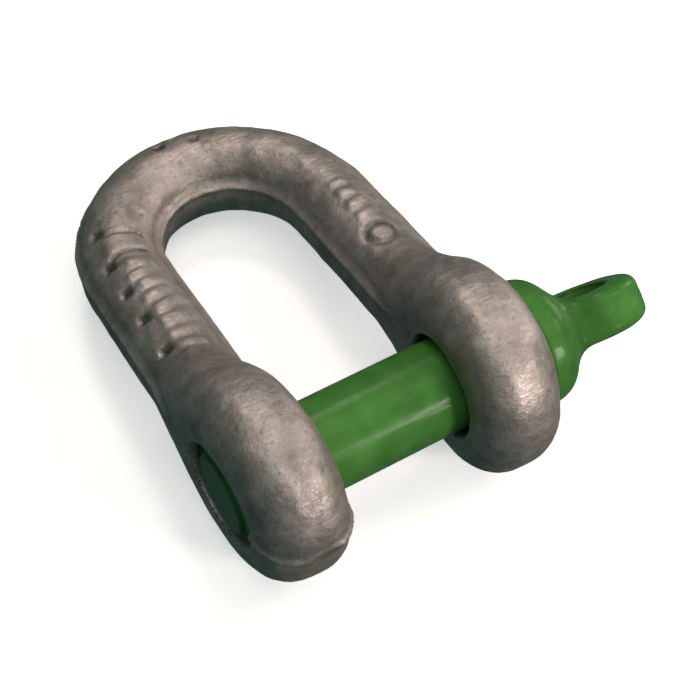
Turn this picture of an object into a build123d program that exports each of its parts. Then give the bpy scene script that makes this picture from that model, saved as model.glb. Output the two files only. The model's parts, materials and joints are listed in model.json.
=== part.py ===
"""Dee shackle: a forged, hot-dip galvanised bow and a painted screw pin with an eye head.

Units are millimetres. The origin is on the pin's axis midway between the two ears, +X runs
along the pin towards its head, and +Z is up with the shackle lying at rest on its two ears and
its crown, so the crown points along +Y and droops by the angle that the ears' size gives it.
Every shape is first drawn in the bow's own plane, with the crown straight along +Y, and is
laid down at the end.
"""
import os
from math import asin, atan2, cos, degrees, hypot, sin, tan

from build123d import *

# --- Bow: one forging -------------------------------------------------------------------------
bar_dia = 22.0              # round bar of the legs and the crown
jaw_width = 36.0            # clear space between the ears' inner faces
inside_length = 77.0        # pin surface to the inside of the crown
ear_dia = 50.5              # across each round ear
ear_thickness = 22.0        # along the pin
ear_step = 0.4              # an ear stands this far inside its leg
ear_round_inner = 9.2       # rim rounding on the jaw side
ear_round_outer = 9.8       # rim rounding on the outside
crown_inset = 1.0           # each leg leans inwards by this much up to the crown
crown_rise = 2.3            # the crown is higher than a half circle by this much
crown_top_radius = 26.0     # centreline radius over the middle of the crown

# The leg swells into its ear through a hollow fillet
neck_reach = 13.0           # how far beyond the ear's rim the leg is still thickened
neck_sink = 0.3             # the swelling's thin end is this far under the leg's surface
neck_start = 0.35           # it starts inside the ear: this and the next two are shares of the
neck_height = 0.88          # ear's radius, of its radius and of its thickness
neck_width = 0.95
neck_hollow = 1.7           # how hollow the fillet is: 1 would be a straight taper
neck_sections = 4

# What the forging dies leave on the bar
flash_thickness = 3.0       # parting line: width of the ridge
flash_height = 0.5          # and how far it stands out of the bar
mark_height = 0.5           # raised blank bars on top of the legs
mark_width = 1.7
mark_pitch = 4.6
mark_span = 11.0            # across the leg
left_mark_count = 6
left_mark_place = 61.0      # middle of the row, from the pin's axis towards the crown
right_mark_count = 4
right_mark_place = 64.0

# --- Pin: one forging -------------------------------------------------------------------------
pin_dia = 22.6
hole_clearance = 1.2        # radial, round the shank in the head side's ear
hole_chamfer = 1.0
collar_seat_margin = 1.0    # the flat that the collar bears on is this much wider, each side
pin_end_recess = 0.3        # the screwed end stops this far inside the far ear's outer face
pin_end_chamfer = 1.6
collar_step = 4.5           # the collar stands this far out round the shank
collar_thickness = 7.8
collar_edge = 0.6           # rounding of the collar's rim
neck_length = 6.5           # cone from the collar down to the eye
neck_end_r = 7.6            # where it runs out on the eye
eye_dia = 28.5
eye_thickness = 11.5
eye_hole_dia = 13.5
eye_edge = 2.2              # rounding of the eye's rim
eye_lip = 1.2               # and of its hole
head_length = 34.0          # collar face to the far rim of the eye
eye_turn = 136.0            # turn of the eye's flat plane about the pin, out of the bow's plane

# --- Screw thread -----------------------------------------------------------------------------
thread_pitch = 3.0
thread_depth = 1.4
thread_relief = 0.3         # crests of the pin's thread lie this far under the shank's surface
thread_clearance = 0.2      # radial, between the crests of the pin's and the ear's threads
thread_flat = 0.25          # share of the pitch that is flat on a crest
thread_sink = 0.2           # a ridge's foot is buried this deep in its wall
thread_lead = 2.5           # plain length between the shank's shoulder and the first turn
shoulder_gap = 0.5          # the shank ends this far short of the screwed ear

cut_margin = 1.0            # cutting tools run this far past the faces that they cut

# --- Worked out from the sizes above ----------------------------------------------------------
bar_r = bar_dia / 2
pin_r = pin_dia / 2
ear_r = ear_dia / 2
ear_inner_x = jaw_width / 2
ear_outer_x = ear_inner_x + ear_thickness
ear_middle_x = ear_inner_x + ear_thickness / 2
leg_x = ear_inner_x + ear_step + bar_r
crown_half_width = leg_x - crown_inset
crown_height = crown_half_width + crown_rise
crown_y = pin_r + inside_length + bar_r
spring_y = crown_y - crown_height
shoulder_r = ((crown_half_width ** 2 + crown_height ** 2 - 2 * crown_height * crown_top_radius)
              / (2 * (crown_half_width - crown_top_radius)))
shoulder_x = crown_half_width - shoulder_r
leg_foot = (leg_x - shoulder_x, spring_y)
leg_lean = atan2(*leg_foot) - asin(shoulder_r / hypot(*leg_foot))
rest_droop = degrees(asin((ear_r - bar_r) / crown_y))
screw_crest_r = pin_r - thread_relief
screw_root_r = screw_crest_r - thread_depth
nut_crest_r = screw_crest_r + thread_clearance
nut_root_r = nut_crest_r + thread_depth
hole_r = pin_r + hole_clearance
hole_mouth_r = hole_r + hole_chamfer
nut_mouth_r = nut_root_r + hole_chamfer
leg_start_y = max(hole_mouth_r, nut_mouth_r) + cut_margin
past_leg_x = ear_outer_x + bar_dia
collar_r = pin_r + collar_step
shank_start_x = shoulder_gap - ear_inner_x
pin_end_x = pin_end_recess - ear_outer_x
collar_back_x = ear_outer_x + collar_thickness
head_end_x = ear_outer_x + head_length
eye_x = head_end_x - eye_dia / 2


def turned(corners):
    """A solid of revolution about the X axis from its (x, radius) corners."""
    return revolve(make_face(Polyline(*corners, close=True)), Axis.X)


def bow_path():
    """Centreline of the bar: two leaning legs, two wide shoulder arcs and a tighter top arc."""
    meet = atan2(crown_height - crown_top_radius, -shoulder_x)

    def on_shoulder(angle, side):
        return (side * (shoulder_x + shoulder_r * cos(angle)), spring_y + shoulder_r * sin(angle))

    def half(side):
        leg_start = (side * (leg_x - leg_start_y * tan(leg_lean)), leg_start_y)
        leg = Line(leg_start, on_shoulder(leg_lean, side))
        middle = on_shoulder((leg_lean + meet) / 2, side)
        return leg, ThreePointArc(leg @ 1, middle, on_shoulder(meet, side))

    leg, shoulder = half(1)
    far_leg, far_shoulder = half(-1)
    crown = ThreePointArc(shoulder @ 1, (0, crown_y), far_shoulder @ 1)
    return Wire([leg, shoulder, crown, far_shoulder, far_leg])


def bar_and_flash():
    """The round bar swept along the centreline, with the thin ridge where the dies met."""
    path = bow_path()
    across = Plane(origin=path @ 0, x_dir=(0, 0, 1), z_dir=path % 0)
    bar = sweep(across * Circle(bar_r), path=path)
    return bar + sweep(across * Rectangle(flash_thickness, bar_dia + 2 * flash_height), path=path)


def ear(side):
    """A fat round disc about the pin's axis with both rims fully rounded."""
    r_in, r_out = ear_round_inner, ear_round_outer
    face = Line((ear_inner_x, 0), (ear_inner_x, ear_r - r_in))
    inner_rim = RadiusArc(face @ 1, (ear_inner_x + r_in, ear_r), r_in)
    top = Line(inner_rim @ 1, (ear_outer_x - r_out, ear_r))
    outer_rim = RadiusArc(top @ 1, (ear_outer_x, ear_r - r_out), r_out)
    back = Line(outer_rim @ 1, (ear_outer_x, 0))
    axis = Line(back @ 1, face @ 0)
    disc = revolve(make_face([face, inner_rim, top, outer_rim, back, axis]), Axis.X)
    return disc if side > 0 else mirror(disc, Plane.YZ)


def ear_neck(side):
    """Oval sections up the leg whose size falls from nearly the ear's to just under the bar's."""
    low_y = ear_r * neck_start
    top_y = ear_r + neck_reach
    thin_r = bar_r - neck_sink
    sections = []
    for step in range(neck_sections + 1):
        share = step / neck_sections
        swell = (1 - share) ** neck_hollow
        y = low_y + (top_y - low_y) * share
        high = thin_r + (ear_r * neck_height - thin_r) * swell
        wide = thin_r + (ear_thickness / 2 * neck_width - thin_r) * swell
        leg_middle_x = leg_x - y * tan(leg_lean)
        x = side * (leg_middle_x + (ear_middle_x - leg_middle_x) * swell)
        sections.append(Plane(origin=(x, y, 0), x_dir=(1, 0, 0), z_dir=(0, 1, 0)) * Ellipse(wide, high))
    return loft(sections)


def forging_marks(side, count, place):
    """A row of short raised bars across the top of a leg, following its round."""
    row_length = count * mark_pitch
    skin = Pos(side * leg_x, place, 0) * Rot(90, 0, 0) * Cylinder(bar_r + mark_height, row_length)
    first = place - (count - 1) / 2 * mark_pitch
    return [skin & Pos(side * leg_x, first + i * mark_pitch, bar_r) * Box(mark_span, mark_width, bar_r)
            for i in range(count)]


def screw_ridge(root_r, crest_r, start_x, length):
    """A helical ridge of trapezoid section about the X axis, its foot sunk a little in the wall."""
    reach = crest_r - root_r
    sink = thread_sink if reach > 0 else -thread_sink
    crest_half = thread_pitch * thread_flat / 2
    foot_half = thread_pitch * (1 - thread_flat) / 2
    helix = Helix(thread_pitch, length, root_r, center=(start_x, 0, 0), direction=(1, 0, 0))
    outward = (helix @ 0) - Vector(start_x, 0, 0)
    plane = Plane(origin=helix @ 0, x_dir=outward, z_dir=helix % 0)
    section = Polygon((-sink, -foot_half), (reach, -crest_half), (reach, crest_half),
                      (-sink, foot_half), align=None)
    return sweep(plane * section, path=helix, is_frenet=True)


def ear_bore(side, bore_r, mouth_r):
    """The space that a hole takes out of an ear, with a bevel from bore_r to mouth_r at each face."""
    bevel = mouth_r - bore_r
    jaw_x = ear_inner_x - cut_margin
    return turned([(side * jaw_x, 0), (side * jaw_x, mouth_r), (side * ear_inner_x, mouth_r),
                   (side * (ear_inner_x + bevel), bore_r), (side * (ear_outer_x - bevel), bore_r),
                   (side * ear_outer_x, mouth_r), (side * past_leg_x, mouth_r), (side * past_leg_x, 0)])


def collar_seat():
    """What is faced off the head side's ear so that the collar bears flat."""
    seat_r = collar_r + collar_seat_margin
    return turned([(ear_outer_x, 0), (ear_outer_x, seat_r), (past_leg_x, seat_r), (past_leg_x, 0)])


def bow_body():
    """Bar, ears and forging marks in one solid, with a plain hole and a screwed hole."""
    body = bar_and_flash()
    for side in (1, -1):
        body += [ear(side), ear_neck(side)]
    body += forging_marks(-1, left_mark_count, left_mark_place)
    body += forging_marks(1, right_mark_count, right_mark_place)
    body -= collar_seat()
    body -= ear_bore(1, hole_r, hole_mouth_r)
    ridge = screw_ridge(nut_crest_r, nut_root_r, -ear_outer_x - thread_pitch,
                        ear_thickness + 2 * thread_pitch)
    return body - (ear_bore(-1, nut_crest_r, nut_mouth_r) + ridge)


def pin_core():
    """The round part of the pin that isn't screwed: shank, collar and the cone behind it."""
    rim_r = collar_r - collar_edge
    neck_end_x = collar_back_x + neck_length
    shank = Polyline((neck_end_x, 0), (shank_start_x, 0), (shank_start_x, pin_r), (ear_outer_x, pin_r),
                     (ear_outer_x, rim_r))
    rim = ThreePointArc(shank @ 1, ((ear_outer_x + collar_back_x) / 2, collar_r), (collar_back_x, rim_r))
    neck = Polyline(rim @ 1, (neck_end_x, neck_end_r), (neck_end_x, 0))
    return revolve(make_face([shank, rim, neck]), Axis.X)


def eye():
    """The flat round eye that the pin is turned by, with rounded rims."""
    eye_r = eye_dia / 2
    root_x = ear_outer_x + collar_thickness / 2
    sides = Polyline((eye_x, eye_r), (root_x, eye_r), (root_x, -eye_r), (eye_x, -eye_r))
    nose = ThreePointArc(sides @ 1, (head_end_x, 0), sides @ 0)
    tongue = extrude(make_face([sides, nose]), eye_thickness / 2, both=True)
    rims = tongue.edges().filter_by(Plane.XY).filter_by(lambda edge: edge.center().X > collar_back_x)
    return Rot(eye_turn, 0, 0) * fillet(rims, eye_edge)


def eye_hole():
    """The space that the eye's hole takes, widening in a round lip at each face and clearing the neck."""
    inner_r = eye_hole_dia / 2
    face_z = eye_thickness / 2
    wall = Line((inner_r, 0), (inner_r, face_z - eye_lip))
    lip = RadiusArc(wall @ 1, (inner_r + eye_lip, face_z), -eye_lip)
    out = Polyline(lip @ 1, (inner_r + eye_lip, collar_r), (0, collar_r), (0, 0), wall @ 0)
    half = revolve(make_face([wall, lip, out]), Axis.Y)
    half = Rot(90, 0, 0) * half
    return Rot(eye_turn, 0, 0) * Pos(eye_x, 0, 0) * (half + mirror(half, Plane.XY))


def pin_screw():
    """The screwed end: core and helical ridge, bevelled together at the pin's end."""
    start_x = pin_end_x - thread_pitch
    ridge = screw_ridge(screw_root_r, screw_crest_r, start_x, shank_start_x - thread_lead - start_x)
    core = turned([(pin_end_x, 0), (pin_end_x, screw_root_r), (shank_start_x, screw_root_r),
                   (shank_start_x, 0)])
    room = turned([(pin_end_x, 0), (pin_end_x, screw_crest_r - pin_end_chamfer),
                   (pin_end_x + pin_end_chamfer, screw_crest_r), (shank_start_x, screw_crest_r),
                   (shank_start_x, 0)])
    return (core + ridge) & room


def screw_pin():
    """Shank, screw, collar, neck and eye: one forging."""
    return pin_core() + pin_screw() + eye() - eye_hole()


def laid_down(shape):
    """From the bow's own plane to the rest position on both ears and the crown."""
    return Rot(-rest_droop, 0, 0) * shape


os.makedirs("parts", exist_ok=True)
for name, shape in {"bow_body": bow_body(), "screw_pin": screw_pin()}.items():
    export_step(laid_down(shape), f"parts/{name}.step")
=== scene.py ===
"""Looks of a dee shackle: hot-dip galvanised bow, green enamelled screw pin, floor, light and camera.

Shapes are worked out in millimetres in the bow's own plane: x along the pin towards its head,
y from the pin to the crown, z out of that plane, origin on the pin's axis midway between the ears.
laid_down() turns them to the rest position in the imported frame, in metres.
"""

import json
from functools import partial
from math import asin, atan2, cos, hypot, pi, radians, sin, tan

import bpy
import numpy as np
from mathutils import Matrix, Vector


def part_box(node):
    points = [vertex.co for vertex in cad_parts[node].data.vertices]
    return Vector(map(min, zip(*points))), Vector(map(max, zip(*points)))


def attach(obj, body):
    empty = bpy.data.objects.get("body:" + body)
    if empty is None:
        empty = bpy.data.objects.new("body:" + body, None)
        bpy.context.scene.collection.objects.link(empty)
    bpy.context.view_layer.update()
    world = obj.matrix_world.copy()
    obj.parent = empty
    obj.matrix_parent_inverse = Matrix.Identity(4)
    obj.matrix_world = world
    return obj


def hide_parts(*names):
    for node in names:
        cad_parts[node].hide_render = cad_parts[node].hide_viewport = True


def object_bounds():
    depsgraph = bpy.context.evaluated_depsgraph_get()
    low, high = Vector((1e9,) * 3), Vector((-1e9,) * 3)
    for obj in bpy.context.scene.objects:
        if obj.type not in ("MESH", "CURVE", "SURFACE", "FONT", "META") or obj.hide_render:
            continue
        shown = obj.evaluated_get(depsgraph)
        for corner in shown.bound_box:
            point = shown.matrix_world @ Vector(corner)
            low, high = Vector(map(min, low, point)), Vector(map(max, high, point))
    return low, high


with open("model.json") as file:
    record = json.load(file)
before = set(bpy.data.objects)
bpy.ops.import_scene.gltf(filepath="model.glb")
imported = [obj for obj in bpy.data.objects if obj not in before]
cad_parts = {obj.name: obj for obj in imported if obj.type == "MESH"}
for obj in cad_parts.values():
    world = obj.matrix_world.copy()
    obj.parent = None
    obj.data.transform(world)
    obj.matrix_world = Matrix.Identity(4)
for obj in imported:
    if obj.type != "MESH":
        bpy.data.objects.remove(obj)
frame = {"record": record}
cad_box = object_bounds()
MM = 0.001

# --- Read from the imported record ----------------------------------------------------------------
mounts = {mount["name"]: mount for mount in frame["record"]["mounts"]}
pin_r = mounts["pin_span"]["dims"]["r_mm"]
shank_length = mounts["pin_span"]["dims"]["length_mm"]
eye_x = mounts["head_eye"]["pos_m"][0] / MM
eye_hole_r = mounts["head_eye"]["dims"]["r_mm"]
crown_inside_y = hypot(*mounts["crown_seat"]["pos_m"][1:]) / MM
droop = asin(mounts["crown_seat"]["axis"][2])
eye_normal = mounts["head_eye"]["axis"]
eye_turn = atan2(eye_normal[2], eye_normal[1]) + droop - pi / 2
pin_box = [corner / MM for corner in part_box("screw_pin")]
bow_box = [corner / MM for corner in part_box("bow_body")]
head_end_x = pin_box[1].x
pin_end_x = pin_box[0].x
ear_r = bow_box[1].z

# --- Bow, in millimetres ------------------------------------------------------------------------
bar_r = 11.0
ear_inner_x = 18.0
ear_outer_x = 40.0
ear_middle_x = (ear_inner_x + ear_outer_x) / 2
ear_half = (ear_outer_x - ear_inner_x) / 2
ear_round_inner = 9.2
ear_round_outer = 9.8
leg_step = 0.4                       # a leg's inner side stands this far outside its ear's
leg_x = ear_inner_x + leg_step + bar_r
crown_inset = 1.0
crown_rise = 2.3
crown_top_r = 26.0
ear_toe_in = 0.045                   # the ears turn towards each other at their free ends: slope
waist_blend = 17.0                   # size of the hollow where the leg runs into the ear
ear_end_y = 14.0                     # the ear's rounded slab turns into the leg's round bar
leg_start_y = 34.0                   # between these two,
bar_start_y = 52.0                   # and from here to the crown there is only bar
hole_gap = 1.5
nut_gap = 1.6
hole_r = pin_r + hole_gap
nut_bore_r = pin_r + nut_gap
bore_edge = 1.0                      # rounding of the bores' mouths under their zinc
flash_height = 0.75                  # ridge where the forging dies met
flash_half_width = 0.7
flash_root = 0.15                    # and the hollow along each side of it
flash_root_off = 2.0
flash_root_half_width = 0.9
flash_left = 0.12                    # share of the ridge left where it was ground off the collar's ear,
ground_end_y = 12.0                  # up to here; the ridge is whole again
ground_fade_y = 40.0                 # from here on
die_shift = 0.9                      # the lower half of the crown stands this far towards the jaw
die_shift_edge = 0.25
die_shift_start_y = 40.0
die_shift_full_y = 75.0
part_top_y = 50.0                    # the line where the dies met is highest here
part_top_z = 4.0
part_crown_drop = 1.5                # and falls by this much
part_crown_reach = 45.0              # over this far towards the crown
part_ear_drop = 5.5
part_ear_reach = 75.0
skin_inset = 0.08                    # the uneven skin lies this far under the even one on average
swell_length = 14.0
swell_depth = 0.12
dimple_length = 4.5
dimple_depth = 0.07
bow_waves = 24
box_margin = 0.02                    # the skin stays this far inside the solid's box
seat_margin = 1.0                    # the ear's flat seat is this much wider than the collar

crown_y = crown_inside_y + bar_r
half_width = leg_x - crown_inset
height = half_width + crown_rise
spring_y = crown_y - height
shoulder_r = (half_width ** 2 + height ** 2 - 2 * height * crown_top_r) / (2 * (half_width - crown_top_r))
shoulder_x = half_width - shoulder_r
lean = atan2(leg_x - shoulder_x, spring_y) - asin(shoulder_r / hypot(leg_x - shoulder_x, spring_y))
meet = atan2(height - crown_top_r, -shoulder_x)
leg_length = hypot(shoulder_x + shoulder_r * cos(lean) - leg_x, spring_y + shoulder_r * sin(lean))
crown_along = leg_length + (meet - lean) * shoulder_r + (pi / 2 - meet) * crown_top_r

# --- Pin, in millimetres ------------------------------------------------------------------------
collar_step = 4.5
collar_r = pin_r + collar_step
collar_round = 1.2
collar_cone_blend = 2.5
neck_end_x = ear_outer_x + 13.3      # a cone runs from the collar's rim down to here
neck_end_r = 7.4
neck_slope = 1.17
eye_r = head_end_x - eye_x
eye_half = 5.75                      # half its thickness
eye_round = 2.6
eye_taper = 0.02                     # the eye thins towards its far rim: half thickness lost per mm
tongue_waist = 4.4                   # and narrows by this much at each side towards the neck
tongue_flare = 10.0                  # over this length
tongue_start_x = ear_outer_x + 4.0
neck_blend = 3.5
eye_lip = 1.7
head_inset = 0.05
head_swell_length = 9.0
head_swell_depth = 0.07
head_waves = 16
shank_start_x = ear_outer_x - shank_length
screw_crest_r = pin_r - 0.3
thread_depth = 1.4
thread_pitch = 3.0
thread_gap = 0.2                     # between the pin's crests and the ear's
thread_fill = 0.92                   # the paint in the roots leaves this share of the depth
screw_bevel = 1.6
shank_round = 0.5                    # where the shank steps down to the screw
pole_r = 1e-4                        # the skin of revolution ends on rings this small

# --- Sizes and depths of the finishes' patterns, in millimetres ---------------------------------
mottle_size = 7.0                    # cloudy tints in the zinc
stain_size = 11.0
speck_size = 1.3                     # pits with old dirt in them
speck_depth = 0.07
streak_size = 0.6                    # the dies' drag lines, drawn coarser than real so that they show
streak_depth = 0.09
lump_size = 4.5                      # hammered unevenness
lump_depth = 0.35
film_size = 6.0                      # thick and thin places in the enamel
brush_size = 1.6
brush_depth = 0.10
peel_size = 1.1                      # orange peel
peel_depth = 0.04
rust_place = (pin_end_x, -0.4, -8.8)
rust_size = 2.0
floor_mottle_size = 40.0

# --- Grids that the skins are worked out on, in millimetres -------------------------------------
bow_pitch = 0.68
head_pitch = 0.42
grid_edge = 1.0                      # a grid reaches this far past its piece
bow_grid_x = 42.0
head_grid_r = 17.0

# --- Viewer, in millimetres and degrees; floor and lights, in metres and watts ------------------
viewer_azimuth = -27.85
viewer_elevation = 47.83
viewer_roll = -4.07
viewer_distance = 362.3
viewer_target = (6.51, 21.15, 0.0)
viewer_lens = 78.26
viewer_sensor = 36
nearest_seen = 0.01                  # in metres
floor_half = 12.0
floor_glow = 0.6
light_target = (0, 0.035, 0)
room_power = 0.165                   # strength of the room's own light, without a unit
lights = (                           # name, direction from the shackle, size, power, colour
    ("front_right", (0.40, -0.85, 0.33), 0.22, 5.6, "#fff0ea"),
    ("back_top", (0.20, 0.58, 0.79), 0.2, 2.4, "#fff0ea"),
    ("right", (0.75, -0.2, 0.6), 0.4, 3.0, "#fff0ea"),
    ("top", (0.05, -0.1, 1.0), 0.8, 3.7, "#fff0e8"),
    ("right_low", (0.98, 0.2, 0.12), 0.4, 1.9, "#fff0ea"),
    ("left_fill", (-0.5, -0.5, 0.7), 0.8, 0.5, "#d8fff4"),
)


def smooth_step(value, low, high):
    """0 below low, 1 above high, and between them the cubic 3 t^2 - 2 t^3 of the share t covered."""
    t = np.clip((value - low) / (high - low), 0, 1)
    return t * t * (3 - 2 * t)


def smooth_min(a, b, blend):
    """The lower of two distances, rounded off where they are within blend of each other."""
    near = np.maximum(blend - np.abs(a - b), 0) / blend
    return np.minimum(a, b) - near * near * blend / 4


def rounded(a, b, radius):
    """Distance to a corner with a round of that radius; a and b are distances past its core."""
    return np.hypot(np.maximum(a, 0), np.maximum(b, 0)) + np.minimum(np.maximum(a, b), 0) - radius


def ripple(points, wavelength, count, seed):
    """Smooth unevenness, mostly between -1 and 1: a sum of sine waves in random directions, over
    the square root of their count."""
    random = np.random.default_rng(seed)
    total = np.zeros(points[0].shape)
    for _ in range(count):
        way = random.normal(size=3)
        way *= 2 * pi / (wavelength * random.uniform(0.7, 1.5) * np.linalg.norm(way))
        total += np.sin(way[0] * points[0] + way[1] * points[1] + way[2] * points[2]
                        + random.uniform(0, 2 * pi))
    return total / count ** 0.5 / 1.6


def bar_place(x, y):
    """Where a point lies by the bar's centreline: how far outside it, and how far along from the
    ear. Leg, shoulder arc and top arc each answer for their own stretch of the right half, and
    the left half mirrors it."""
    x = np.abs(x)
    along_leg = (leg_x - x) * sin(lean) + y * cos(lean)
    off_leg = (x - leg_x) * cos(lean) + y * sin(lean)
    shoulder_turn = np.arctan2(y - spring_y, x - shoulder_x)
    off_shoulder = np.hypot(y - spring_y, x - shoulder_x) - shoulder_r
    top_turn = np.arctan2(y - crown_y + crown_top_r, x)
    off_top = np.hypot(y - crown_y + crown_top_r, x) - crown_top_r
    on_top = top_turn > meet
    on_leg = ~on_top & (along_leg < leg_length)
    off = np.where(on_top, off_top, np.where(on_leg, off_leg, off_shoulder))
    along = np.where(on_top, leg_length + (meet - lean) * shoulder_r + (top_turn - meet) * crown_top_r,
                     np.where(on_leg, along_leg, leg_length + (shoulder_turn - lean) * shoulder_r))
    return off, along


def keyhole(x, y, z):
    """Ear and lower leg: the side outline, a disc flowing into a strip, carried through the ear's
    thickness with rounded rims that become the bar's full round further up the leg."""
    up = smooth_step(y, ear_end_y, leg_start_y)
    middle = ear_middle_x + ear_toe_in * y
    middle = middle + (leg_x - y * tan(lean) - middle) * up
    past = np.abs(x) - middle
    disc = np.hypot(y, z) - ear_r
    strip = np.hypot(np.minimum(y, 0), z) - bar_r
    outline = smooth_min(disc, strip, waist_blend)
    rim = np.where(past < 0, ear_round_inner, ear_round_outer)
    rim = rim + (bar_r - rim) * up
    return rounded(np.abs(past) - (ear_half - rim), outline + rim, rim)


def bump_at(along, off, place, half_length, side, half_width, edge=0.9):
    """1 on a round-cornered patch of the bar's top and 0 off it, fading over its edge."""
    reach = np.hypot(np.maximum(np.abs(along - place) - half_length + edge, 0),
                     np.maximum(np.abs(off - side) - half_width + edge, 0))
    return 1 - smooth_step(reach, 0, 2 * edge)


def blank_marks(x, along, off):
    """Relief on top of the legs and the crown, in mm: a plate and a row of plain bars with punched
    pits beside them on the left, bars and a plain ring on the right, a few nicks over the crown."""
    random = np.random.default_rng(11)
    plate_place, plate_height = 74.8, 0.3
    groove_depth, groove_bend = 0.45, 0.04
    left = plate_height * bump_at(along, off, plate_place, 3.4, -1.4, 5.0)
    for place in (71.2, 78.6):
        bent = along + groove_bend * (off + 1.6) ** 2
        left -= groove_depth * bump_at(bent, off, place, 0.55, -1.6, 5.0, 0.5)
    for place in (66.4, 62.2, 58.2, 53.8, 49.0, 44.4, 39.6, 35.0):
        skewed = along + random.uniform(-0.28, 0.28) * off
        height = random.uniform(0.35, 0.65)
        half_length, side = random.uniform(1.1, 1.7), random.uniform(-2.6, -1.2)
        left += height * bump_at(skewed, off, place, half_length, side, random.uniform(3.2, 4.6))
    for place in (79.5, 68.5, 58.5, 48.5, 36.5):
        left -= random.uniform(0.75, 0.95) * bump_at(along, off, place, 1.4, 4.4, 1.4)
    right = 0.0
    for place in (63.4, 59.2, 54.6, 50.0):
        skewed = along + random.uniform(-0.2, 0.2) * off
        height = random.uniform(0.4, 0.6)
        half_length = random.uniform(1.0, 1.5)
        right += height * bump_at(skewed, off, place, half_length, 0, random.uniform(2.4, 3.2))
    ring_place, ring_side, ring_r, ring_depth = 42.2, 0.3, 3.6, 0.5
    ring = np.abs(np.hypot(along - ring_place, off + ring_side) - ring_r)
    right -= ring_depth * (1 - smooth_step(ring, 0.3, 1.7))
    past_middle = (crown_along - along) * np.sign(x)
    for place, side, height, size in (
            (-2.8, 3.0, -0.8, 1.3), (1.8, 6.2, -0.9, 1.4), (5.8, 1.0, -0.5, 1.2),
            (0.0, -5.2, 0.4, 1.2), (8.6, -2.6, 0.35, 1.1), (-25.4, -6.2, 0.35, 1.2)):
        nick = height * bump_at(past_middle, off, place, size, side, size, 0.7)
        left, right = left + nick, right + nick
    return np.where(x < 0, left, right)


def part_line(y):
    """Height of the line where the dies met, two half parabolas: it climbs from the ears' tips up
    the legs and comes down again to the crown."""
    return np.where(y > part_top_y,
                    part_top_z - part_crown_drop * ((y - part_top_y) / part_crown_reach) ** 2,
                    part_top_z - part_ear_drop * ((part_top_y - y) / part_ear_reach) ** 2)


def bow_field(x, y, z):
    """Signed distance to the bow's skin: bar, ears, parting ridge (ground away on the ear that the
    collar bears on), blank marks and zinc, less the bores and the collar's flat seat, and never
    past the solid's own reach."""
    above = z - part_line(y)
    lower = smooth_step(-above, -die_shift_edge, die_shift_edge)
    shift = die_shift * lower * smooth_step(y, die_shift_start_y, die_shift_full_y)
    off, along = bar_place(x, y + shift)
    bar = np.hypot(off, z) - bar_r
    body = np.where(y > bar_start_y, bar, keyhole(x, y, z))
    ground = flash_left + (1 - flash_left) * smooth_step(y, ground_end_y, ground_fade_y)
    kept = np.where(x > 0, ground, 1)
    body = body - kept * flash_height * np.exp(-(above / flash_half_width) ** 2)
    body = body + kept * flash_root * (np.exp(-((above - flash_root_off) / flash_root_half_width) ** 2)
                                       + np.exp(-((above + flash_root_off) / flash_root_half_width) ** 2))
    body = body - (z > 0) * blank_marks(x, along, off)
    points = (x, y, z)
    body = (body + skin_inset + swell_depth * ripple(points, swell_length, bow_waves, 1)
            + dimple_depth * ripple(points, dimple_length, bow_waves, 2))
    across = np.hypot(y, z)
    forward, upward = y * cos(droop) + z * sin(droop), z * cos(droop) - y * sin(droop)
    reach = np.maximum(np.maximum(-forward, np.abs(upward)) - ear_r, np.abs(x) - bow_box[1].x)
    body = np.maximum(body, np.maximum(reach, forward - bow_box[1].y) + box_margin)
    body = -smooth_min(-body, across - np.where(x > 0, hole_r, nut_bore_r), bore_edge)
    seat = np.maximum(ear_outer_x - x, across - collar_r - seat_margin)
    return np.maximum(body, -seat)


def head_field(x, y, z):
    """Signed distance to the pin's head: a collar with a cone behind it that flows into a flat eye,
    less the eye's hole."""
    u = y * cos(eye_turn) + z * sin(eye_turn)
    v = z * cos(eye_turn) - y * sin(eye_turn)
    across = np.hypot(y, z)
    collar = rounded(ear_outer_x + collar_round - x, across - (collar_r - collar_round), collar_round)
    cone = (across - neck_end_r + (x - neck_end_x) * neck_slope) / hypot(1, neck_slope)
    collar = -smooth_min(-collar, -cone, collar_cone_blend)
    reach = np.clip(x, tongue_start_x, eye_x)
    outline = np.hypot(x - reach, u) - eye_r + tongue_waist * smooth_step(eye_x - x, 0, tongue_flare)
    half = eye_half - (x - eye_x) * eye_taper
    tongue = rounded(outline + eye_round, np.abs(v) - (half - eye_round), eye_round)
    tongue = np.maximum(tongue, across - collar_r)
    body = smooth_min(collar, tongue, neck_blend)
    body = np.maximum(body, ear_outer_x - x)
    body = -smooth_min(-body, np.hypot(x - eye_x, u) - eye_hole_r, eye_lip)
    return body + head_inset + head_swell_depth * ripple((x, y, z), head_swell_length, head_waves, 3)


def rise(field, points, nudge):
    """How much a field rises along x, y and z from nudge before each point to nudge past it."""
    x, y, z = points.T
    return np.stack([field(x + nudge * d[0], y + nudge * d[1], z + nudge * d[2])
                     - field(x - nudge * d[0], y - nudge * d[1], z - nudge * d[2])
                     for d in np.eye(3)], 1)


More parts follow.
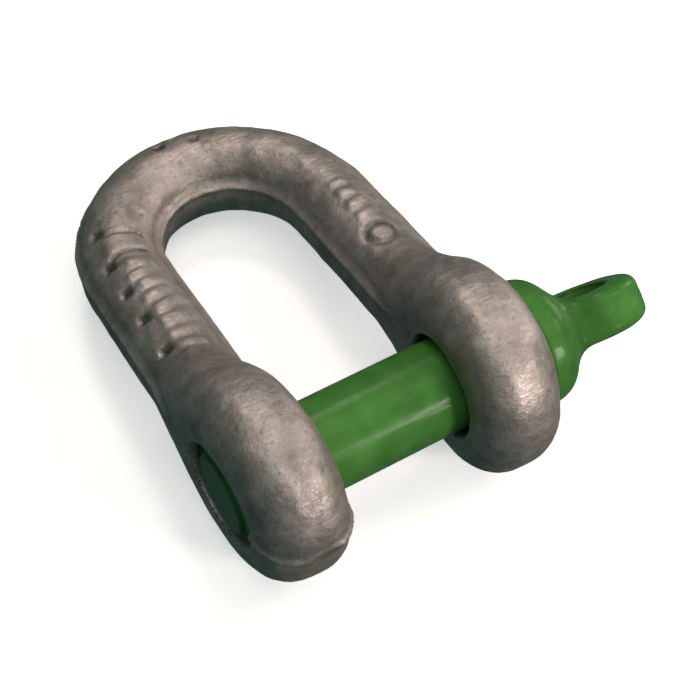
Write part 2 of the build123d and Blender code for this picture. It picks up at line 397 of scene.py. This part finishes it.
def skin(field, low, high, pitch):
    """A surface net: one point in each cell of a grid that the surface passes through, at the mean
    of its edge crossings, and one face round each grid edge whose ends lie on different sides. The
    points are then moved down the field's slope onto the surface. Returns points and quads."""
    axes = [np.arange(low[i], high[i] + pitch, pitch) for i in range(3)]
    value = field(*np.meshgrid(*axes, indexing="ij"))
    inside = value < 0
    corners = np.array([[i, j, k] for i in (0, 1) for j in (0, 1) for k in (0, 1)])
    cells = tuple(n - 1 for n in inside.shape)
    count = sum(inside[i:i + cells[0], j:j + cells[1], k:k + cells[2]].astype(int)
                for i, j, k in corners)
    cell = np.argwhere((count > 0) & (count < 8))
    points = np.zeros(cell.shape)
    crossings = np.zeros(len(cell))
    for a in corners:
        for b in corners:
            if (b - a).sum() != 1 or (b < a).any():
                continue
            va, vb = value[tuple((cell + a).T)], value[tuple((cell + b).T)]
            cut = (va < 0) != (vb < 0)
            share = np.where(cut, va / np.where(cut, va - vb, 1), 0)
            points += cut[:, None] * (a + share[:, None] * (b - a))
            crossings += cut
    points = np.array(low) + pitch * (cell + points / crossings[:, None])
    number = np.full(cells, -1)
    number[tuple(cell.T)] = np.arange(len(cell))
    quads = []
    step = np.eye(3, dtype=int)
    for axis in range(3):
        second, third = (axis + 1) % 3, (axis + 2) % 3
        here = inside[tuple(slice(1, -1) if i != axis else slice(0, -1) for i in range(3))]
        next_one = inside[tuple(slice(1, -1) if i != axis else slice(1, None) for i in range(3))]
        edge = np.argwhere(here != next_one)
        out = here[tuple(edge.T)]
        edge = edge + (1 - step[axis])
        ring = [edge - step[second] - step[third], edge - step[third], edge, edge - step[second]]
        quad = np.stack([number[tuple(r.T)] for r in ring], 1)
        quads.append(np.where(out[:, None], quad, quad[:, ::-1]))
    quads = np.concatenate(quads)
    nudge = pitch * 0.05
    rounds, least_steep = 4, 0.25
    for _ in range(rounds):
        slope = rise(field, points, nudge) / (2 * nudge)
        steep = np.maximum((slope ** 2).sum(1), least_steep)
        move = slope * (field(*points.T) / steep)[:, None]
        points = points - np.clip(move, -pitch / 2, pitch / 2)
    return points, quads


def worn_and_hollow(field, points, reach=1.2, gain=3):
    """How much each point of a skin stands proud (worn) and how much it is sheltered (hollow), from
    the distances found a short reach under and over the surface: both are 0 on a flat or a bar. The
    materials paint the sheltered places dark, as painted shade."""
    slope = rise(field, points, 0.05)
    normal = slope / np.maximum(np.linalg.norm(slope, axis=1), 1e-9)[:, None]
    over, under = points + normal * reach, points - normal * reach
    hollow = 1 - field(*over.T) / reach
    worn = 1 + field(*under.T) / reach
    return np.clip(worn * gain, 0, 1), np.clip(hollow * gain, 0, 1)


def bow_wear(points):
    """Worn and hollow over the bow, with dirt packed in the low marks and the raised ones rubbed; the
    steel paints hollow as shade and dirt.
    """
    worn, hollow = worn_and_hollow(bow_field, points)
    x, y, z = points.T
    off, along = bar_place(x, y)
    marks = (z > 0) * blank_marks(x, along, off)
    rub_gain, dirt_gain = 1.4, 1.5
    return np.maximum(worn, rub_gain * marks), np.clip(np.maximum(hollow, -dirt_gain * marks), 0, 1)


def tube(x, radius):
    """A skin of revolution about the x axis from a grid of radii: one row for each x, one column
    for each direction round the axis, and at each the point (x, r cos turn, r sin turn). Its first
    and last rows are left as rings, so whoever calls it brings them together or to the axis."""
    rows, columns = radius.shape
    turn = np.linspace(0, 2 * pi, columns, endpoint=False)
    points = np.stack([np.broadcast_to(x[:, None], radius.shape),
                       radius * np.cos(turn), radius * np.sin(turn)], -1)
    number = np.arange(rows * columns).reshape(rows, columns)
    a, b = number[:-1], number[1:]
    quads = np.stack([a, b, np.roll(b, -1, 1), np.roll(a, -1, 1)], -1)
    return points.reshape(-1, 3), quads.reshape(-1, 4)[:, ::-1]


def thread_profile(x, turn):
    """Height of a rounded screw thread, 0 in the root and 1 on the crest, at each x and direction:
    a zigzag along x that goes once round per pitch, with its root and crest made round."""
    phase = (x[:, None] / thread_pitch - turn[None, :] / (2 * pi)) % 1
    ramp = np.abs(2 * phase - 1)
    return smooth_step(ramp, 0.18, 0.82)


def screw_and_shank():
    """The pin from its screwed end to inside the collar: thread, root, shoulder and shank, with how
    worn it is and how hollow, as make_piece takes them; hollow here is painted shade that darkens
    the last millimetres of the screwed end."""
    turn = np.linspace(0, 2 * pi, 144, endpoint=False)
    end_rings = np.array([0.0, 0.3, 0.6, 0.8, 0.93])
    shoulder = np.array([-1.6, -0.8, -0.2, 0.0, 0.08, 0.25, 0.5])
    thread_step, shank_step = 0.22, 0.8
    inside_collar_x = ear_outer_x + 3
    x = np.concatenate([np.arange(pin_end_x, shank_start_x - 2.0, thread_step),
                        shank_start_x + shoulder,
                        np.arange(shank_start_x + 1, inside_collar_x, shank_step)])
    root = screw_crest_r - thread_depth
    fade = 1 - smooth_step(x, shank_start_x - 4.5, shank_start_x - 2.4)
    screw = root + thread_depth * thread_fill * thread_profile(x, turn) * fade[:, None]
    bevel = screw_crest_r - screw_bevel + (x - pin_end_x)
    screw = np.minimum(screw, bevel[:, None])
    inwards = np.clip(shank_start_x + shank_round - x, 0, shank_round)
    round_off = shank_round - np.sqrt(np.maximum(shank_round ** 2 - inwards ** 2, 0))
    shank = (pin_r - box_margin - round_off)[:, None] + np.zeros_like(screw)
    radius = np.where((x >= shank_start_x)[:, None], shank, screw)
    ends = end_rings[:, None] * radius[0]
    x = np.concatenate([np.full(len(end_rings), pin_end_x), x, [x[-1]]])
    radius = np.concatenate([np.maximum(ends, pole_r), radius, np.full((1, len(turn)), pole_r)])
    points, quads = tube(x, radius)
    # painted shade: the screwed end is darkened over its last end_fade millimetres
    end_shade, end_fade = 0.6, 2
    return points, quads, 0.0, end_shade * smooth_step(-points[:, 0], -pin_end_x - end_fade, -pin_end_x)


def nut_thread():
    """The screwed bore's inner wall: a thread that fades into the mouths, backed by a plain wall
    sunk in the ear, with both ends of the two joined into one ring."""
    turn = np.linspace(0, 2 * pi, 96, endpoint=False)
    inset, thread_step, run_out = 0.9, 0.3, 1.8
    sunk, backing, faded, lift = 0.15, 0.6, 0.1, 0.02
    x = np.arange(-ear_outer_x + inset, -ear_inner_x - inset, thread_step)
    crest = screw_crest_r + thread_gap
    fade = smooth_step(x, x[0], x[0] + run_out) * (1 - smooth_step(x, x[-1] - run_out, x[-1]))
    wall = nut_bore_r + sunk
    inner = wall - (wall - crest) * thread_profile(x, turn) * fade[:, None]
    inner = np.where(inner > wall - faded, wall - lift, inner)
    outer = np.full((len(x), len(turn)), wall + backing)
    x_loop = np.concatenate([x, x[::-1], x[:1]])
    radius = np.concatenate([inner, outer[::-1], inner[:1]])
    points, quads = tube(x_loop, radius)
    return points, quads[:, ::-1]


def laid_down(points):
    """From the bow's own plane, in millimetres, to the rest position, in metres: a turn about the
    x axis by droop."""
    x, y, z = points.T
    return np.stack([x, y * cos(droop) + z * sin(droop), z * cos(droop) - y * sin(droop)], 1) * MM


def make_piece(name, parts, material, body, node):
    """One mesh object from skins of (points, quads, worn, hollow), shaded smooth, which rides on
    its body and takes its node's place."""
    points = np.concatenate([laid_down(part[0]) for part in parts])
    starts = np.cumsum([0] + [len(part[0]) for part in parts])[:-1]
    quads = np.concatenate([part[1] + start for part, start in zip(parts, starts)])
    mesh = bpy.data.meshes.new(name)
    mesh.from_pydata(points.tolist(), [], quads.tolist())
    for index, title in ((2, "worn"), (3, "hollow")):
        values = np.concatenate([np.broadcast_to(part[index], len(part[0])) for part in parts])
        mesh.attributes.new(title, "FLOAT", "POINT").data.foreach_set("value", values.astype(np.float32))
    mesh.polygons.foreach_set("use_smooth", np.ones(len(mesh.polygons), bool))
    mesh.materials.append(material)
    piece = bpy.data.objects.new(name, mesh)
    bpy.context.scene.collection.objects.link(piece)
    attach(piece, body)
    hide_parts(node)


def linear(code):
    """An sRGB hex colour as linear RGBA."""
    srgb = np.array([int(code[i:i + 2], 16) for i in (1, 3, 5)]) / 255
    return (*np.where(srgb <= 0.04045, srgb / 12.92, ((srgb + 0.055) / 1.055) ** 2.4), 1.0)


def add(tree, kind, links, out=0, stops=(), **settings):
    """Adds a node and gives one of its outputs. links maps an input's name or number to a socket or
    a value, stops are a colour ramp's (place, hex colour) pairs, settings are its own properties."""
    node = tree.nodes.new(kind)
    for name, value in settings.items():
        setattr(node, name, value)
    for name, value in links.items():
        if isinstance(value, bpy.types.NodeSocket):
            tree.links.new(value, node.inputs[name])
        else:
            node.inputs[name].default_value = value
    if stops:
        elements = node.color_ramp.elements
        while len(elements) < len(stops):
            elements.new(0.5)
        for element, (place, code) in zip(elements, stops):
            element.position = place
            element.color = linear(code)
    return node.outputs[out]


def new_material(name):
    """A named material: its own adder of nodes, its shader and its piece's coordinates."""
    material = bpy.data.materials.new(name)
    material.use_nodes = True
    tree = material.node_tree
    node = partial(add, tree)
    return material, node, tree.nodes["Principled BSDF"], node("ShaderNodeTexCoord", {}, "Object")


def galvanised_steel():
    """Hot-dip galvanised forging, long used: a dull pinkish-grey skin with ochre mottling, fine
    streaks across the bar that catch the light, dark specks, and painted shade with grime, near
    black and patchy, in the hollows, the punched pits and the screwed bore."""
    material, node, shader, place = new_material("hot_dip_galvanised_steel")
    squeezed = node("ShaderNodeMapping", {"Vector": place, "Scale": (0.22, 1.0, 1.0)})
    mottle, stain, speck, streak, lump = [
        node("ShaderNodeTexNoise", {"Vector": at, "Scale": 1 / (size * MM), "Detail": detail,
                                    "Roughness": roughness})
        for at, size, detail, roughness in (
            (place, mottle_size, 6.0, 0.62), (place, stain_size, 4.0, 0.6), (place, speck_size, 3.0, 0.6),
            (squeezed, streak_size, 3.0, 0.6), (place, lump_size, 4.0, 0.6))]
    colour = node("ShaderNodeValToRGB", {0: mottle}, stops=[(0.30, "#857e78"), (0.45, "#9c958f"),
                                                            (0.58, "#aca39e"), (0.72, "#beb3ae")])
    ochre = node("ShaderNodeMapRange", {"Value": stain, "From Min": 0.5, "From Max": 0.68, "To Max": 0.4})
    colour = node("ShaderNodeMix", {0: ochre, 6: colour, 7: linear("#9c8f7c")}, 2, data_type="RGBA")
    dark = node("ShaderNodeMapRange", {"Value": speck, "From Min": 0.56, "From Max": 0.72, "To Max": 0.45})
    colour = node("ShaderNodeMix", {0: dark, 6: colour, 7: linear("#4f4b45")}, 2, data_type="RGBA")
    patchy = node("ShaderNodeMapRange", {"Value": speck, "From Min": 0.25, "From Max": 0.6, "To Min": 1.0,
                                         "To Max": 0.6})
    # painted shade and grime: the hollow attribute darkens hollows, low marks and the screwed bore towards
    # near black
    hollow = node("ShaderNodeAttribute", {}, "Fac", attribute_name="hollow")
    shade_and_grime = node("ShaderNodeMath", {0: hollow, 1: patchy}, operation="MULTIPLY")
    colour = node("ShaderNodeMix", {0: shade_and_grime, 6: colour, 7: linear("#2c2e2a")}, 2, data_type="RGBA")
    rubbed = node("ShaderNodeMapRange", {"Value": streak, "From Min": 0.4, "From Max": 0.6, "To Max": 0.7})
    worn = node("ShaderNodeAttribute", {}, "Fac", attribute_name="worn")
    bright = node("ShaderNodeMath", {0: worn, 1: rubbed}, operation="MULTIPLY")
    colour = node("ShaderNodeMix", {0: bright, 6: colour, 7: linear("#cabdb6")}, 2, data_type="RGBA")
    polish = node("ShaderNodeMapRange", {"Value": streak, "From Min": 0.35, "From Max": 0.65,
                                         "To Min": 0.60, "To Max": 0.44})
    relief = node("ShaderNodeBump", {"Height": lump, "Distance": lump_depth * MM})
    relief = node("ShaderNodeBump", {"Height": speck, "Distance": speck_depth * MM, "Normal": relief})
    relief = node("ShaderNodeBump", {"Height": streak, "Distance": streak_depth * MM, "Normal": relief})
    for name, socket in (("Base Color", colour), ("Roughness", polish), ("Normal", relief)):
        material.node_tree.links.new(socket, shader.inputs[name])
    shader.inputs["Metallic"].default_value = 0.72
    return material


def green_enamel():
    """Brushed-on green gloss enamel over a forging: a thick film with soft brush waves along the pin,
    chipped to dark steel at a few edges, painted deep green as shade in the hollows and towards the
    screwed end, and touched by rust at the screwed end."""
    material, node, shader, place = new_material("gloss_green_enamel")
    drawn_out = node("ShaderNodeMapping", {"Vector": place, "Scale": (0.15, 1.0, 1.0)})
    mottle = node("ShaderNodeTexNoise", {"Vector": place, "Scale": 1 / (film_size * MM), "Detail": 4.0})
    brush = node("ShaderNodeTexNoise", {"Vector": drawn_out, "Scale": 1 / (brush_size * MM)})
    peel = node("ShaderNodeTexNoise", {"Vector": place, "Scale": 1 / (peel_size * MM)})
    colour = node("ShaderNodeValToRGB", {0: mottle}, stops=[(0.3, "#3d712c"), (0.5, "#457b38"),
                                                            (0.7, "#4d853f")])
    thin = node("ShaderNodeMapRange", {"Value": mottle, "From Min": 0.62, "From Max": 0.66})
    worn = node("ShaderNodeAttribute", {}, "Fac", attribute_name="worn")
    chip = node("ShaderNodeMath", {0: worn, 1: thin}, operation="MULTIPLY")
    colour = node("ShaderNodeMix", {0: chip, 6: colour, 7: linear("#3d4038")}, 2, data_type="RGBA")
    # painted shade: the hollow attribute darkens the head's hollows, the eye's hole and the screwed end to
    # deep green
    hollow = node("ShaderNodeAttribute", {}, "Fac", attribute_name="hollow")
    colour = node("ShaderNodeMix", {0: hollow, 6: colour, 7: linear("#1d3a1c")}, 2, data_type="RGBA")
    from_rust = node("ShaderNodeVectorMath", {0: place, 1: [size * MM for size in rust_place]}, "Value",
                     operation="DISTANCE")
    rust = node("ShaderNodeMapRange", {"Value": from_rust, "From Min": rust_size * MM, "From Max": 0.0,
                                       "To Max": 1.5})
    colour = node("ShaderNodeMix", {0: rust, 6: colour, 7: linear("#8a5a38")}, 2, data_type="RGBA")
    gloss = node("ShaderNodeMapRange", {"Value": peel, "From Min": 0.3, "From Max": 0.7, "To Min": 0.17,
                                        "To Max": 0.28})
    relief = node("ShaderNodeBump", {"Height": brush, "Distance": brush_depth * MM})
    relief = node("ShaderNodeBump", {"Height": peel, "Distance": peel_depth * MM, "Normal": relief})
    for name, socket in (("Base Color", colour), ("Roughness", gloss), ("Normal", relief)):
        material.node_tree.links.new(socket, shader.inputs[name])
    shader.inputs["Specular IOR Level"].default_value = 0.09
    return material


def plain_floor():
    """A pale matt sheet under the shackle, faintly mottled and lit from within so that it stays
    white; it throws no light back, so the steel's undersides stay dark."""
    material, node, shader, place = new_material("pale_matt_floor")
    mottle = node("ShaderNodeTexNoise", {"Vector": place, "Scale": 1 / (floor_mottle_size * MM)})
    colour = node("ShaderNodeValToRGB", {0: mottle}, stops=[(0.3, "#f0f0ef"), (0.7, "#f6f6f5")])
    for name in ("Base Color", "Emission Color"):
        material.node_tree.links.new(colour, shader.inputs[name])
    shader.inputs["Emission Strength"].default_value = floor_glow
    shader.inputs["Roughness"].default_value = 0.9
    corners = [(x * floor_half, y * floor_half, cad_box[0].z)
               for x, y in ((-1, -1), (1, -1), (1, 1), (-1, 1))]
    mesh = bpy.data.meshes.new("floor")
    mesh.from_pydata(corners, [], [(0, 1, 2, 3)])
    mesh.materials.append(material)
    floor = bpy.data.objects.new("floor", mesh)
    floor.visible_diffuse = floor.visible_glossy = False
    bpy.context.scene.collection.objects.link(floor)


def area_light(name, way, size, power, colour):
    """A soft square light a metre from the shackle, in the direction way, facing it."""
    light = bpy.data.lights.new(name, "AREA")
    light.shape = "SQUARE"
    light.size = size
    light.energy = power
    light.color = linear(colour)[:3]
    lamp = bpy.data.objects.new(name, light)
    lamp.location = Vector(light_target) + Vector(way).normalized()
    lamp.rotation_euler = Vector(way).to_track_quat("Z", "Y").to_euler()
    bpy.context.scene.collection.objects.link(lamp)


def surroundings():
    """A dim greenish room that lights the shaded sides, seen past the floor's edge as pale as it."""
    world = bpy.data.worlds.new("dim_room")
    world.use_nodes = True
    tree = world.node_tree
    seen = add(tree, "ShaderNodeLightPath", {}, "Is Camera Ray")
    colour = add(tree, "ShaderNodeMix", {0: seen, 6: linear("#9cccc8"), 7: linear("#f6f6f5")}, 2,
                 data_type="RGBA")
    power = add(tree, "ShaderNodeMapRange", {"Value": seen, "To Min": room_power, "To Max": 1.0})
    tree.links.new(colour, tree.nodes["Background"].inputs["Color"])
    tree.links.new(power, tree.nodes["Background"].inputs["Strength"])
    bpy.context.scene.world = world


def set_camera():
    """A standing viewer's look down at the shackle, from in front of the jaw and to the left."""
    azimuth, elevation, roll = radians(viewer_azimuth), radians(viewer_elevation), radians(viewer_roll)
    back = Vector((sin(azimuth) * cos(elevation), -cos(azimuth) * cos(elevation), sin(elevation)))
    right = Vector((cos(azimuth), sin(azimuth), 0))
    up = back.cross(right)
    right, up = right * cos(roll) + up * sin(roll), up * cos(roll) - right * sin(roll)
    turn = Matrix.Rotation(-droop, 4, "X")
    camera = bpy.data.cameras.new("camera")
    camera.sensor_width = viewer_sensor
    camera.lens = viewer_lens
    camera.clip_start = nearest_seen
    eye = bpy.data.objects.new("camera", camera)
    pose = Matrix((right, up, back)).transposed().to_4x4()
    pose.translation = (Vector(viewer_target) + back * viewer_distance) * MM
    eye.matrix_world = turn @ pose
    bpy.context.scene.collection.objects.link(eye)
    bpy.context.scene.camera = eye


def main():
    """The two pieces, each one object, then the floor, the lights, the room and the viewer."""
    points, quads = skin(bow_field, (-bow_grid_x, -ear_r - grid_edge, -ear_r - grid_edge),
                         (bow_grid_x, crown_y + bar_r + grid_edge, ear_r + grid_edge), bow_pitch)
    # the screwed bore's wall is given hollow 1 all over, so the steel paints it near black: painted shade
    make_piece("bow", [(points, quads, *bow_wear(points)), (*nut_thread(), 0.0, 1.0)],
               galvanised_steel(), "bow", "bow_body")
    points, quads = skin(head_field, (ear_outer_x - grid_edge, -head_grid_r, -head_grid_r),
                         (head_end_x + grid_edge, head_grid_r, head_grid_r), head_pitch)
    make_piece("pin", [(points, quads, *worn_and_hollow(head_field, points)), screw_and_shank()],
               green_enamel(), "pin", "screw_pin")
    plain_floor()
    for light in lights:
        area_light(*light)
    surroundings()
    bpy.context.scene.view_settings.view_transform = "Standard"
    set_camera()


main()
